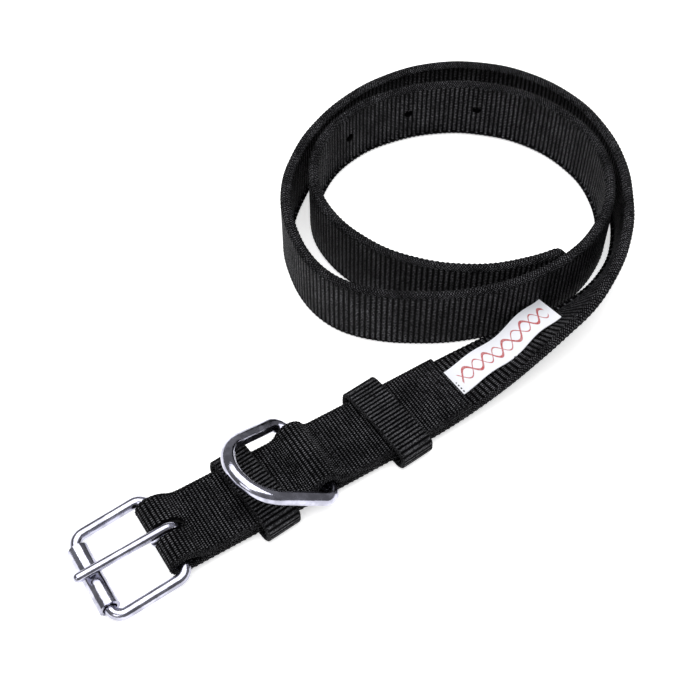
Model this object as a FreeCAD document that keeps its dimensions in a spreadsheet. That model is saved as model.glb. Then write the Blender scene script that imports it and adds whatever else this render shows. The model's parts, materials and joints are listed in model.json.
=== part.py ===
import FreeCAD, Part
import math
import os
import Sketcher

# Webbing belt with a one-prong roller buckle, a D-ring, two loose webbing keepers and a sewn label.
# Frame: millimetres, +Z up, the floor is z = 0 and the origin is under the middle of the belt as it
# lies. The buckle end lies flat and runs along +X. Past the label the webbing turns on edge, and
# the long free end stands in two turns behind it.
# "Station" is the distance along the webbing's middle line from the buckle's rear bar.

V = FreeCAD.Vector
os.makedirs("parts", exist_ok=True)
doc = FreeCAD.newDocument("webbing_belt")

# ---------------------------------------------------------------- driving dimensions
sheet = doc.addObject("Spreadsheet::Sheet", "sheet")
DIMENSIONS = [
    ("bar_x", -151.1, "rear bar of the buckle, along X"),
    ("belt_y", -86.5, "middle line of the flat stretch, along Y"),
    ("webbing_width", 40.0, "woven width of the belt"),
    ("webbing_thick", 4.0, "one layer of the belt"),
    ("belt_lift", 3.2, "underside of the flat stretch above the floor"),
    ("flat_length", 240.0, "straight stretch, from the rear bar to the first bend"),
    ("twist_start", 140.0, "station where the webbing starts to turn on edge"),
    ("twist_end", 350.0, "station where it stands on edge"),
    ("tail_end", 172.0, "station where the folded tail stops"),
    ("fold_drop", 17.0, "length in which the fold comes down to the lower layer"),
    ("wire_gap", 0.3, "play between a wire and what goes round it"),
    ("ring_gap", 0.95, "play between the D-ring's bar and the hump over it"),
    ("slot_length", 11.0, "prong slot, from the rear bar along the belt"),
    ("slot_width", 7.0, "prong slot, across the belt"),
    ("hole_diam", 5.5, "punched adjusting hole"),
    ("hole_pitch", 45.0, "spacing of the holes"),
    ("hole_first", 1083.0, "station of the hole nearest the buckle"),
    ("hole_count", 3, "adjusting holes"),
    ("tip_round", 9.0, "corner radius of the free end"),
    ("frame_wire", 6.0, "wire of the buckle frame"),
    ("frame_length", 40.0, "rear bar to front bar, wire middles"),
    ("frame_width", 50.0, "side to side, wire middles"),
    ("frame_bend", 6.0, "corner radius at the wire's middle"),
    ("roller_diam", 10.8, "outside of the roller"),
    ("roller_wall", 1.6, "sheet of the roller"),
    ("roller_length", 37.0, "roller along the front bar"),
    ("roller_slit", 0.8, "open seam of the roller"),
    ("prong_wire", 5.0, "wire of the prong"),
    ("prong_reach", 3.0, "prong past the middle of the roller's front"),
    ("prong_wrap", 270.0, "degrees that the prong's eye goes round the bar"),
    ("ring_wire", 7.4, "wire of the D-ring"),
    ("ring_station", 81.0, "station of the D-ring's bar"),
    ("ring_width", 53.0, "D-ring across, wire middles"),
    ("ring_depth", 47.5, "D-ring from bar to crown, wire middles"),
    ("ring_bend", 6.0, "corner radius of the D-ring at the wire's middle"),
    ("ring_crown", 21.0, "crown radius of the D-ring at the wire's middle"),
    ("ring_tilt", 30.0, "the D-ring's lean above the belt"),
    ("ring_yaw", 2.0, "the D-ring's turn seen from above"),
    ("valley_round", 5.0, "bend of the tail beside the D-ring's bar"),
    ("keeper_width", 20.0, "keeper webbing, along the belt"),
    ("keeper_thick", 2.4, "keeper webbing"),
    ("keeper_span", 52.8, "keeper loop outside, across the belt"),
    ("keeper_height", 14.3, "keeper loop outside, from the floor"),
    ("keeper_round", 4.0, "outer corner of a keeper loop"),
    ("keeper_skew", 5.0, "turn of a keeper seen from above"),
    ("front_station", 50.0, "middle of the keeper by the buckle"),
    ("rear_station", 130.0, "middle of the other keeper"),
    ("label_width", 19.0, "sewn label across"),
    ("label_thick", 0.8, "sewn label"),
    ("label_length", 78.0, "sewn label along the belt"),
    ("label_side", -2.5, "middle of the label off the belt's middle line"),
    ("stitch_length", 2.6, "one stitch on the surface"),
    ("stitch_pitch", 3.4, "stitch to stitch"),
    ("thread_diam", 0.7, "sewing thread across"),
    ("thread_proud", 0.4, "thread above the webbing"),
]
for row, (alias, value, meaning) in enumerate(DIMENSIONS, start=1):
    sheet.set(f"A{row}", alias)
    sheet.set(f"B{row}", str(value))
    sheet.set(f"C{row}", meaning)
    sheet.setAlias(f"B{row}", alias)
doc.recompute()


def dim(alias):
    """Value of one driving dimension."""
    return float(sheet.get(alias))


# Bends of the webbing after the flat stretch, all to the left: (degrees, radius in mm). The first
# three turn it on edge, the next seven are the outer turn and the rest are the inner turn.
BENDS = [
    (15, 100), (30, 110), (45, 115), (45, 88), (45, 89), (45, 130), (45, 96), (45, 53), (45, 134),
    (45, 90), (45, 79), (45, 82), (45, 101), (45, 77), (45, 65), (45, 90), (44, 105),
]
SECTION_TURN = 15.0         # degrees of bend between two loft sections
LABEL_TURN = 5.0            # degrees between them in the bend that the label reaches
SECTION_STEP = 15.0         # mm between two loft sections on the straight
TAIL_STEP = 4.0             # mm between them where the tail lies on the twist
SECTION_LEAST = 3.0         # mm, sections nearer than this are left out

half_width = dim("webbing_width") / 2
thick = dim("webbing_thick")
belt_lift = dim("belt_lift")
belt_length = dim("flat_length") + sum(math.radians(a) * r for a, r in BENDS)


# ---------------------------------------------------------------- the webbing's route
def middle_line(station):
    """Point in plan and heading, in radians, at a station of the webbing's middle line."""
    x, y, heading = dim("bar_x"), dim("belt_y"), 0.0
    straight = min(station, dim("flat_length"))
    x += straight
    left = station - straight
    for degrees, radius in BENDS:
        if left <= 0:
            break
        turn = min(left / radius, math.radians(degrees))
        x += radius * (math.sin(heading + turn) - math.sin(heading))
        y -= radius * (math.cos(heading + turn) - math.cos(heading))
        heading += turn
        left -= radius * turn
    return x, y, heading


def twist_share(station):
    """0 where the webbing lies flat, 1 where it stands on edge, with a smooth change between."""
    share = (station - dim("twist_start")) / (dim("twist_end") - dim("twist_start"))
    share = min(max(share, 0.0), 1.0)
    return share * share * (3 - 2 * share)


def webbing_frame(station):
    """Middle of the webbing, its direction towards the right-hand edge, and its upper side."""
    x, y, heading = middle_line(station)
    share = twist_share(station)
    roll = math.radians(90 * share)
    right = V(math.sin(heading), -math.cos(heading), 0)
    across = right * math.cos(roll) + V(0, 0, 1) * math.sin(roll)
    upward = V(0, 0, 1) * math.cos(roll) - right * math.sin(roll)
    height = half_width * math.sin(roll) + thick / 2 * math.cos(roll) + belt_lift * (1 - share)
    return V(x, y, height), across, upward


def on_webbing(station, side=0.0, up=0.0):
    """Point beside the middle line: side is towards the right-hand edge, up from the mid-layer."""
    middle, across, upward = webbing_frame(station)
    return middle + across * side + upward * up


def section_stations(start, end):
    """Stations of a loft's sections: even steps on the straight, even turns in the bends."""
    at, tail_end = dim("flat_length"), dim("tail_end")
    stops = [start]
    stops += [start + TAIL_STEP * i for i in range(1, int((tail_end - start) / TAIL_STEP) + 1)]
    stops += [tail_end + SECTION_STEP * i for i in range(1, int((at - tail_end) / SECTION_STEP))]
    for number, (degrees, radius) in enumerate(BENDS):
        parts = max(1, round(degrees / (LABEL_TURN if number == 0 else SECTION_TURN)))
        length = math.radians(degrees) * radius
        stops += [at + length * i / parts for i in range(parts)]
        at += length
    stops = sorted(stop for stop in stops if start <= stop <= end - SECTION_LEAST)
    kept = [stops[0]]
    for stop in stops[1:]:
        if stop - kept[-1] > SECTION_LEAST:
            kept.append(stop)
    return kept + [end]


def ribbon(start, end, left, right, low, high):
    """Solid strip along the webbing between two stations, two sides and two heights."""
    wires = []
    for station in section_stations(start, end):
        corners = [on_webbing(station, left, low), on_webbing(station, right, low),
                   on_webbing(station, right, high), on_webbing(station, left, high)]
        wires.append(Part.makePolygon(corners + corners[:1]))
    return Part.makeLoft(wires, True, False)


# ---------------------------------------------------------------- helpers for wire pieces
def rod_line(start, end, radius):
    """Straight round rod between two points."""
    return Part.makeCylinder(radius, (end - start).Length, start, end - start)


def rod_bend(centre, axis, start, degrees, radius):
    """Round rod bent about an axis through centre, from the point start."""
    tangent = axis.cross(start - centre)
    circle = Part.Wire(Part.makeCircle(radius, start, tangent))
    return Part.Face(circle).revolve(centre, axis, degrees)


def joined(pieces):
    """One solid from pieces that meet face to face."""
    return pieces[0].multiFuse(pieces[1:]).removeSplitter()


def add_feature(label, shape, placement=None):
    """Document object for a shape made with Part's own functions."""
    feature = doc.addObject("Part::Feature", label)
    feature.Label = label
    feature.Shape = shape
    if placement is not None:
        feature.Placement = placement
    return feature


# ---------------------------------------------------------------- heights in the folded end
eye_inner = dim("frame_wire") / 2 + dim("wire_gap")
eye_outer = eye_inner + thick
bar_z = belt_lift + eye_outer
base_top = belt_lift + thick
stack_top = belt_lift + 2 * thick
ring_radius = dim("ring_wire") / 2
ring_inner = ring_radius + dim("ring_gap")
ring_z = base_top + ring_radius + dim("wire_gap")
CLOSING_GAP = 0.3           # the layers are one solid where they are nearer than this
CUT_OVER = 0.4              # how far a cutter stands out of the webbing's faces


def arc(first, middle, last):
    """Edge of an arc through three points given as (x, z) in the belt's side view."""
    return Part.Arc(*(V(x, 0, z) for x, z in (first, middle, last))).toShape()


def line(first, last):
    """Straight edge between two (x, z) points in the belt's side view."""
    return Part.LineSegment(V(first[0], 0, first[1]), V(last[0], 0, last[1])).toShape()


def on_circle(centre, radius, degrees):
    """(x, z) on a circle, at an angle counted from +X towards +Z."""
    angle = math.radians(degrees)
    return centre[0] + radius * math.cos(angle), centre[1] + radius * math.sin(angle)


def fold_outline():
    """Side view of the folded end: lower layer, fold, upper layer with its hump over the D-ring."""
    drop, top = dim("fold_drop"), bar_z + eye_outer
    fall = top - stack_top
    bend = (drop ** 2 + fall ** 2) / (4 * fall)
    turn = math.degrees(math.asin(drop / 2 / bend))
    upper, lower = (0, top - bend), (drop, stack_top + bend)
    ring, valley = (dim("ring_station"), ring_z), dim("valley_round")
    crown = ring_inner + thick
    rise = stack_top + valley - ring_z
    reach = math.sqrt((crown + valley) ** 2 - rise ** 2)
    lean = math.degrees(math.asin(rise / (crown + valley)))
    end = dim("twist_start")

    def hump(side, crown_radius, valley_radius, foot_degrees):
        """Edges of half a hump, from its foot to its top; side is -1 or 1."""
        middle = (ring[0] + side * reach, stack_top + valley)
        toward = -90 - side * foot_degrees
        join = -180 + lean if side > 0 else -lean
        foot = on_circle(middle, valley_radius, toward)
        meet = on_circle(middle, valley_radius, join)
        between = on_circle(middle, valley_radius, (toward + join) / 2)
        crown_join = lean if side > 0 else 180 - lean
        crown_between = on_circle(ring, crown_radius, (crown_join + 90) / 2)
        crown_top = on_circle(ring, crown_radius, 90)
        return foot, [arc(foot, between, meet), arc(meet, crown_between, crown_top)]

    top_left, left_edges = hump(-1, crown, valley, 0)
    top_right, right_edges = hump(1, crown, valley, 0)
    fold_start = on_circle(upper, bend, 90)
    fold_meet = on_circle(upper, bend, 90 - turn)
    fold_foot = on_circle(lower, bend, -90)
    outline = [
        line((end, belt_lift), (0, belt_lift)),
        arc((0, belt_lift), (-eye_outer, bar_z), (0, top)),
        arc(fold_start, on_circle(upper, bend, 90 - turn / 2), fold_meet),
        arc(fold_meet, on_circle(lower, bend, -90 - turn / 2), fold_foot),
        line(fold_foot, top_left), *left_edges, *right_edges,
        line(top_right, (end, stack_top)), line((end, stack_top), (end, belt_lift)),
    ]

    under = bend + thick
    closing = math.degrees(math.acos((under - CLOSING_GAP) / under))
    eye_meet = on_circle(upper, bend - thick, 90 - turn)
    eye_foot = on_circle(lower, under, -90 - closing)
    eye = [
        arc((0, base_top), (-eye_inner, bar_z), (0, bar_z + eye_inner)),
        arc((0, bar_z + eye_inner), on_circle(upper, bend - thick, 90 - turn / 2), eye_meet),
        arc(eye_meet, on_circle(lower, under, -90 - (turn + closing) / 2), eye_foot),
        line(eye_foot, (eye_foot[0], base_top)), line((eye_foot[0], base_top), (0, base_top)),
    ]

    under = valley + thick
    closing = math.degrees(math.acos((under - CLOSING_GAP) / under))
    foot_left, tunnel_left = hump(-1, ring_inner, under, closing)
    foot_right, tunnel_right = hump(1, ring_inner, under, closing)
    tunnel = [
        *tunnel_left, *tunnel_right, line(foot_right, (foot_right[0], base_top)),
        line((foot_right[0], base_top), (foot_left[0], base_top)),
        line((foot_left[0], base_top), foot_left),
    ]
    return outline, eye, tunnel


def fold_solid():
    """The folded end, with the eye for the rear bar, the tunnel for the D-ring and the slot."""
    outline, eye, tunnel = (Part.Wire(Part.__sortEdges__(edges)) for edges in fold_outline())
    solids = []
    for wire in (outline, eye, tunnel):
        face = Part.Face(wire)
        face.translate(V(dim("bar_x"), dim("belt_y") - half_width, 0))
        solids.append(face.extrude(V(0, 2 * half_width, 0)))
    slot = Part.makeBox(eye_outer + dim("slot_length") + 1, dim("slot_width"), 3 * eye_outer,
                        V(dim("bar_x") - eye_outer - 1, dim("belt_y") - dim("slot_width") / 2, 0))
    return solids[0].cut(solids[1]).cut(solids[2]).cut(slot)


def hole_cutter(station):
    """Punched hole, square through the webbing at a station."""
    middle, across, upward = webbing_frame(station)
    return Part.makeCylinder(dim("hole_diam") / 2, thick + 2 * CUT_OVER,
                             middle - upward * (thick / 2 + CUT_OVER), upward)


def corner_cutter(side):
    """What is cut from one corner of the free end: a square block less a round quarter."""
    middle, across, upward = webbing_frame(belt_length)
    along = across.cross(upward) * -1
    if along.dot(on_webbing(belt_length) - on_webbing(belt_length - 1)) < 0:
        along = along * -1
    radius = dim("tip_round")
    inner = (middle + across * side * (half_width - radius) - along * radius
             - upward * (thick / 2 + CUT_OVER))
    outline = Part.makePolygon([inner, inner + along * 2 * radius,
                                inner + (along + across * side) * 2 * radius,
                                inner + across * side * 2 * radius, inner])
    depth = thick + 2 * CUT_OVER
    block = Part.Face(outline).extrude(upward * depth)
    return block.cut(Part.makeCylinder(radius, depth, inner, upward))


def build_strap():
    """The belt: folded end, both layers to the tail's end, then one with holes and rounded tip."""
    start, tail_end = dim("twist_start"), dim("tail_end")
    doubled = ribbon(start, tail_end, -half_width, half_width, -thick / 2, thick * 1.5)
    single = ribbon(tail_end, belt_length, -half_width, half_width, -thick / 2, thick / 2)
    for side in (-1, 1):
        single = single.cut(corner_cutter(side))
    strap = joined([fold_solid(), doubled, single])
    for i in range(int(dim("hole_count"))):
        strap = strap.cut(hole_cutter(dim("hole_first") + dim("hole_pitch") * i))
    return strap


# ---------------------------------------------------------------- sewn pieces
LABEL_START = 0.4           # the label starts this far past the tail's end
SURFACE_GAP = 0.12          # the label and the thread lie this far off the webbing
SEAM_INSET = 2.5            # a seam stops this far inside the webbing's edges


def build_label():
    """Woven label, sewn at the tail's end and lying along the belt."""
    start = dim("tail_end") + LABEL_START
    low = thick / 2 + SURFACE_GAP
    side, half = dim("label_side"), dim("label_width") / 2
    return ribbon(start, start + dim("label_length"), side - half, side + half,
                  low, low + dim("label_thick"))


def stitch_row(station, up, down=False):
    """Stitches across the belt, one solid each, at a distance above or below the mid-layer."""
    count = int(2 * (half_width - SEAM_INSET) / dim("stitch_pitch"))
    first = -(count - 1) * dim("stitch_pitch") / 2
    stitches = []
    for i in range(count):
        middle, across, upward = webbing_frame(station)
        along = across.cross(upward)
        box = Part.makeBox(dim("thread_diam"), dim("stitch_length"), dim("thread_proud"))
        box.translate(V(-dim("thread_diam") / 2, -dim("stitch_length") / 2, 0))
        turned = FreeCAD.Rotation(along * -1, across * -1, upward, "XZY")
        centre = middle + across * (first + i * dim("stitch_pitch"))
        height = -up - SURFACE_GAP - dim("thread_proud") if down else up + SURFACE_GAP
        box.Placement = FreeCAD.Placement(centre + upward * height, turned).multiply(box.Placement)
        stitches.append(box)
    return stitches


def build_seam(stations):
    """Stitch rows through both layers: one row above and one below for each station."""
    stitches = []
    for station in stations:
        stitches += stitch_row(station, thick * 1.5)
        stitches += stitch_row(station, thick / 2, down=True)
    return Part.makeCompound(stitches)


SEAMS = {
    "seam_by_buckle": (21.0, 24.0, 30.0, 33.0),
    "seam_before_ring": (65.5, 68.0),
    "seam_after_ring": (94.0, 96.5),
    "seam_at_tail_end": (164.0, 168.0),
}


# ---------------------------------------------------------------- keepers
def rounded_box(sketch, width, height, radius, middle_height):
    """Rounded rectangle in a sketch: four sides, four corner arcs, sizes given by expressions."""
    half_w, half_h, r = width[1] / 2, height[1] / 2, radius[1]
    mid = middle_height[1]
    corners = [(1, 1, 0), (-1, 1, 90), (-1, -1, 180), (1, -1, 270)]
    arcs, sides = [], []
    for sx, sy, begin in corners:
        centre = V(sx * (half_w - r), mid + sy * (half_h - r), 0)
        circle = Part.Circle(centre, V(0, 0, 1), r)
        arcs.append(sketch.addGeometry(Part.ArcOfCircle(
            circle, math.radians(begin), math.radians(begin + 90))))
    ends = [((half_w - r, half_h), (-half_w + r, half_h)), ((-half_w, half_h - r), (-half_w, -half_h + r)),
            ((-half_w + r, -half_h), (half_w - r, -half_h)), ((half_w, -half_h + r), (half_w, half_h - r))]
    for (x1, y1), (x2, y2) in ends:
        sides.append(sketch.addGeometry(Part.LineSegment(V(x1, mid + y1, 0), V(x2, mid + y2, 0))))
    for i in range(4):
        sketch.addConstraint(Sketcher.Constraint("Tangent", arcs[i], 2, sides[i], 1))
        sketch.addConstraint(Sketcher.Constraint("Tangent", sides[i], 2, arcs[(i + 1) % 4], 1))
    for i in range(3):
        sketch.addConstraint(Sketcher.Constraint("Equal", arcs[i], arcs[i + 1]))
    sketch.addConstraint(Sketcher.Constraint("Horizontal", sides[0]))
    sketch.addConstraint(Sketcher.Constraint("Vertical", sides[1]))
    sketch.addConstraint(Sketcher.Constraint("Horizontal", sides[2]))
    sketch.addConstraint(Sketcher.Constraint("Vertical", sides[3]))
    sizes = [
        (Sketcher.Constraint("DistanceX", sides[0], 2, sides[0], 1, 2 * (half_w - r)),
         f"{width[0]} - 2 * ({radius[0]})"),
        (Sketcher.Constraint("DistanceY", sides[1], 2, sides[1], 1, 2 * (half_h - r)),
         f"{height[0]} - 2 * ({radius[0]})"),
        (Sketcher.Constraint("Radius", arcs[0], r), radius[0]),
        (Sketcher.Constraint("DistanceX", -1, 1, arcs[0], 3, half_w - r), f"({width[0]}) / 2 - ({radius[0]})"),
        (Sketcher.Constraint("DistanceY", -1, 1, arcs[0], 3, mid + half_h - r),
         f"{middle_height[0]} + ({height[0]}) / 2 - ({radius[0]})"),
    ]
    for constraint, expression in sizes:
        index = sketch.addConstraint(constraint)
        sketch.setExpression(f"Constraints[{index}]", expression)


def origin_plane(body, role):
    """One of a body's own origin planes."""
    return next(item for item in body.Origin.OriginFeatures if item.Role == role)


def build_keeper(label, station):
    """Loop of narrow webbing round both layers: a rounded frame padded along the belt."""
    body = doc.addObject("PartDesign::Body", label)
    body.Label = label
    outline = body.newObject("Sketcher::SketchObject", f"{label}_outline")
    outline.AttachmentSupport = (origin_plane(body, "YZ_Plane"), [""])
    outline.MapMode = "FlatFace"
    span, tall, wall = dim("keeper_span"), dim("keeper_height"), dim("keeper_thick")
    middle = ("sheet.keeper_height / 2", tall / 2)
    rounded_box(outline, ("sheet.keeper_span", span), ("sheet.keeper_height", tall),
                ("sheet.keeper_round", dim("keeper_round")), middle)
    rounded_box(outline, ("(sheet.keeper_span - 2 * sheet.keeper_thick)", span - 2 * wall),
                ("(sheet.keeper_height - 2 * sheet.keeper_thick)", tall - 2 * wall),
                ("(sheet.keeper_round - sheet.keeper_thick)", dim("keeper_round") - wall), middle)
    pad = body.newObject("PartDesign::Pad", f"{label}_pad")
    pad.Profile = outline
    pad.Midplane = True
    pad.setExpression("Length", "sheet.keeper_width")
    body.Tip = pad
    body.Placement = FreeCAD.Placement(V(dim("bar_x") + station, dim("belt_y"), 0),
                                       FreeCAD.Rotation(V(0, 0, 1), dim("keeper_skew")))
    return body


# ---------------------------------------------------------------- buckle
frame_drop = math.degrees(math.asin((bar_z - dim("roller_diam") / 2) / dim("frame_length")))
BUCKLE_PLACE = FreeCAD.Placement(V(dim("bar_x"), dim("belt_y"), bar_z),
                                 FreeCAD.Rotation(V(0, 1, 0), -frame_drop))


def build_frame():
    """Closed wire frame in its own plane: rear bar on the Y axis, front bar towards -X."""
    radius, bend = dim("frame_wire") / 2, dim("frame_bend")
    long_side, half = dim("frame_length"), dim("frame_width") / 2
    pieces = []
    for name, along, x, y, length in (
            ("rear_bar", "Y", 0, -1, "width"), ("front_bar", "Y", -1, -1, "width"),
            ("left_side", "X", -1, 1, "length"), ("right_side", "X", -1, -1, "length")):
        rod = doc.addObject("Part::Cylinder", f"frame_{name}")
        rod.setExpression("Radius", "sheet.frame_wire / 2")
        rod.setExpression("Height", f"sheet.frame_{length} - 2 * sheet.frame_bend")
        turned = FreeCAD.Rotation(V(0, 0, 1), V(0, 1, 0) if along == "Y" else V(1, 0, 0))
        start = V(x * long_side, y * (half - bend), 0)
        if along == "X":
            start = V(-long_side + bend, y * half, 0)
        rod.Placement = FreeCAD.Placement(start, turned)
        pieces.append(rod)
    corners = [(-bend, half - bend, 0), (-long_side + bend, half - bend, 90),
               (-long_side + bend, -half + bend, 180), (-bend, -half + bend, 270)]
    for number, (x, y, turn) in enumerate(corners, start=1):
        elbow = doc.addObject("Part::Torus", f"frame_corner_{number}")
        elbow.setExpression("Radius1", "sheet.frame_bend")
        elbow.setExpression("Radius2", "sheet.frame_wire / 2")
        elbow.Angle3 = 90
        elbow.Placement = FreeCAD.Placement(V(x, y, 0), FreeCAD.Rotation(V(0, 0, 1), turn))
        pieces.append(elbow)
    frame = doc.addObject("Part::MultiFuse", "buckle_frame")
    frame.Label = "buckle_frame"
    frame.Shapes = pieces
    frame.Refine = True
    frame.Placement = BUCKLE_PLACE
    return frame


ROLLER_SEAM_TURN = 150      # degrees from the belt's direction to the roller's open seam


def build_roller():
    """Rolled sheet tube round the front bar, with its open seam facing the belt."""
    tube = doc.addObject("Part::Cylinder", "roller_tube")
    tube.setExpression("Radius", "sheet.roller_diam / 2")
    bore = doc.addObject("Part::Cylinder", "roller_bore")
    bore.setExpression("Radius", "sheet.roller_diam / 2 - sheet.roller_wall")
    for cylinder in (tube, bore):
        cylinder.setExpression("Height", "sheet.roller_length")
    slit = doc.addObject("Part::Box", "roller_slit")
    slit.setExpression("Length", "sheet.roller_diam")
    slit.setExpression("Width", "sheet.roller_slit")
    slit.setExpression("Height", "sheet.roller_length")
    slit.Placement = FreeCAD.Placement(V(0, -dim("roller_slit") / 2, 0), FreeCAD.Rotation())
    hollow = doc.addObject("Part::Cut", "roller_hollow")
    hollow.Base, hollow.Tool = tube, bore
    roller = doc.addObject("Part::Cut", "buckle_roller")
    roller.Label = "buckle_roller"
    roller.Base, roller.Tool = hollow, slit
    seam_turn = FreeCAD.Rotation(V(0, 1, 0), ROLLER_SEAM_TURN)
    across = seam_turn.multiply(FreeCAD.Rotation(V(0, 0, 1), V(0, 1, 0)))
    centre = V(-dim("frame_length"), -dim("roller_length") / 2, 0)
    roller.Placement = BUCKLE_PLACE.multiply(FreeCAD.Placement(centre, across))
    return roller


def build_prong():
    """Wire prong: an eye round the rear bar and an arm that rests over the roller."""
    wire = dim("prong_wire") / 2
    eye = dim("frame_wire") / 2 + dim("wire_gap") + wire
    over = dim("roller_diam") / 2 + dim("wire_gap") + wire
    rise = math.asin((over - eye) / dim("frame_length"))
    along = V(-math.cos(rise), 0, math.sin(rise))
    start = V(math.sin(rise), 0, math.cos(rise)) * eye
    length = dim("frame_length") + dim("roller_diam") / 2 + dim("prong_reach")
    end = start + along * (length - wire)
    eye_bend = rod_bend(V(0, 0, 0), V(0, 1, 0), start, dim("prong_wrap"), wire)
    tip = Part.makeSphere(wire, end)
    prong = joined([rod_line(start, end, wire), tip, eye_bend])
    return prong


def build_ring():
    """D-ring: straight bar on the Y axis, two converging legs and a round crown towards -X."""
    wire = dim("ring_wire") / 2
    half, depth = dim("ring_width") / 2, dim("ring_depth")
    bend, crown = dim("ring_bend"), dim("ring_crown")
    corner = V(-bend, half - bend, 0)
    centre = V(crown - depth, 0, 0)
    gap = centre - corner
    lean = math.atan2(gap.y, gap.x) - math.asin((crown - bend) / gap.Length)
    normal = V(math.cos(lean + math.pi / 2), math.sin(lean + math.pi / 2), 0)
    if normal.y < 0:
        normal = normal * -1
    leg_start, leg_end = corner + normal * bend, centre + normal * crown
    corner_turn = math.degrees(math.atan2(normal.y, normal.x))
    up = V(0, 0, 1)
    pieces = [rod_line(V(0, bend - half, 0), V(0, half - bend, 0), wire)]
    for side in (1, -1):
        middle, start, end = (V(p.x, side * p.y, 0) for p in (corner, leg_start, leg_end))
        elbow_start = middle + V(bend, 0, 0)
        pieces.append(rod_bend(middle, up * side, elbow_start, corner_turn, wire))
        pieces.append(rod_line(start, end, wire))
    crown_turn = 2 * (180 - corner_turn)
    pieces.append(rod_bend(centre, up, leg_end, crown_turn, wire))
    return joined(pieces)


# ---------------------------------------------------------------- assembly
RING_PLACE = FreeCAD.Placement(
    V(dim("bar_x") + dim("ring_station"), dim("belt_y"), ring_z),
    FreeCAD.Rotation(V(0, 0, 1), dim("ring_yaw")).multiply(FreeCAD.Rotation(V(0, 1, 0), dim("ring_tilt"))))

nodes = [
    add_feature("strap", build_strap()),
    add_feature("label", build_label()),
    build_frame(),
    build_roller(),
    add_feature("buckle_prong", build_prong(), BUCKLE_PLACE),
    add_feature("d_ring", build_ring(), RING_PLACE),
    build_keeper("keeper_by_buckle", dim("front_station")),
    build_keeper("keeper_by_label", dim("rear_station")),
]
nodes += [add_feature(name, build_seam(stations)) for name, stations in SEAMS.items()]
doc.recompute()

# ---------------------------------------------------------------- checks and export
for item in doc.Objects:
    if "Invalid" in item.State or "Error" in item.State:
        raise RuntimeError(f"{item.Label}: {item.State}")
for node in nodes:
    if node.Shape.isNull() or not node.Shape.isValid():
        raise RuntimeError(f"{node.Label}: no valid shape")
    node.Shape.exportStep(f"parts/{node.Label}.step")
    box = node.Shape.BoundBox
    print(f"{node.Label:18s} solids {len(node.Shape.Solids):3d} volume {node.Shape.Volume:9.0f}"
          f"  x {box.XMin:7.1f} {box.XMax:7.1f}  y {box.YMin:7.1f} {box.YMax:7.1f}"
          f"  z {box.ZMin:6.2f} {box.ZMax:6.2f}")
print(f"belt length {belt_length:.0f} mm")
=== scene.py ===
# %% [markdown]
# # A webbing belt with a roller buckle
# The object is a 1.4 m belt of ribbed black nylon webbing. One end is folded round a wire buckle
# and sewn down over a D-ring, and the rest turns on edge and lies in two loose turns. Everything
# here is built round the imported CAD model, in metres, in the CAD model's own frame. The metal parts
# keep their CAD shape and get a plated finish. The webbing, keepers, label and thread are soft, so
# they are built again as woven surfaces, each in the place of its CAD solid.

import json
import math

import bpy
import numpy as np
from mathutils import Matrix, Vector

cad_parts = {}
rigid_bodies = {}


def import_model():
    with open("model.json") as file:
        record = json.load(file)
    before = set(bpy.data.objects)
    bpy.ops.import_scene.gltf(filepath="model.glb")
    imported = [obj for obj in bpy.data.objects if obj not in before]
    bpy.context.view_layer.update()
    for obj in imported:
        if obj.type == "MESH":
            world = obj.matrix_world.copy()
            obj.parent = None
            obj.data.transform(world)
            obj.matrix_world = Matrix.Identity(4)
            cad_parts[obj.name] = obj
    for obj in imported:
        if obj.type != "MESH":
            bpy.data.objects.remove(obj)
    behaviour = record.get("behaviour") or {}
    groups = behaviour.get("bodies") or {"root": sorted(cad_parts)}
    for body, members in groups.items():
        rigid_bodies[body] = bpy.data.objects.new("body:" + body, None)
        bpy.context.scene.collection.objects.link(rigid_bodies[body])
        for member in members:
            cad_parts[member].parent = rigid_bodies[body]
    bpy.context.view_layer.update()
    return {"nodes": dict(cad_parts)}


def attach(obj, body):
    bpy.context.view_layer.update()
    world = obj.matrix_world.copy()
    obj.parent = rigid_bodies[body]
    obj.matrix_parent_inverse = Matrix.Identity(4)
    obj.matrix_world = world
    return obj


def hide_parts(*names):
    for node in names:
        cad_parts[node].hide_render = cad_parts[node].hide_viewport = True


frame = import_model()
print("CAD nodes:", ", ".join(sorted(frame["nodes"])))

# %% [markdown]
# ## The camera
# A product picture is taken from above with a rather long lens. The camera stands in front of the
# buckle and to its left, and looks down across the belt. A camera looks along its own -Z, so its
# turn about X is 90 degrees less the downward pitch, and its turn about Z is its heading. A very
# small lens shift sets the belt in the middle of the picture without turning the camera.

# %% Camera
CAMERA_PLACE = (-0.2320, -0.3827, 0.5362)
CAMERA_PITCH = 52.25
CAMERA_HEADING = -32.27
CAMERA_LENS = 62.4
CAMERA_SHIFT = (0.0021, 0.0030)

camera = bpy.data.objects.new("camera", bpy.data.cameras.new("camera"))
bpy.context.scene.collection.objects.link(camera)
camera.location = CAMERA_PLACE
camera.rotation_euler = (math.radians(90 - CAMERA_PITCH), 0, math.radians(CAMERA_HEADING))
camera.data.lens = CAMERA_LENS
camera.data.shift_x, camera.data.shift_y = CAMERA_SHIFT
camera.data.clip_start, camera.data.clip_end = 0.01, 20
bpy.context.scene.camera = camera
print("camera lens", CAMERA_LENS, "mm, pitch", CAMERA_PITCH)

# %% [markdown]
# ## Turning arrays into meshes
# Every woven piece is a grid: one direction follows a path, the other goes round a cross-section.
# The whole grid of points is worked out at once with numpy, and one helper turns it into a mesh,
# closes its ends and gives each corner its place in the weave as a UV map. The UV map counts ribs
# in U and yarns in V, so the same weave material fits every piece whatever its rib spacing.

# %% Mesh helpers
MM = 0.001


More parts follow.
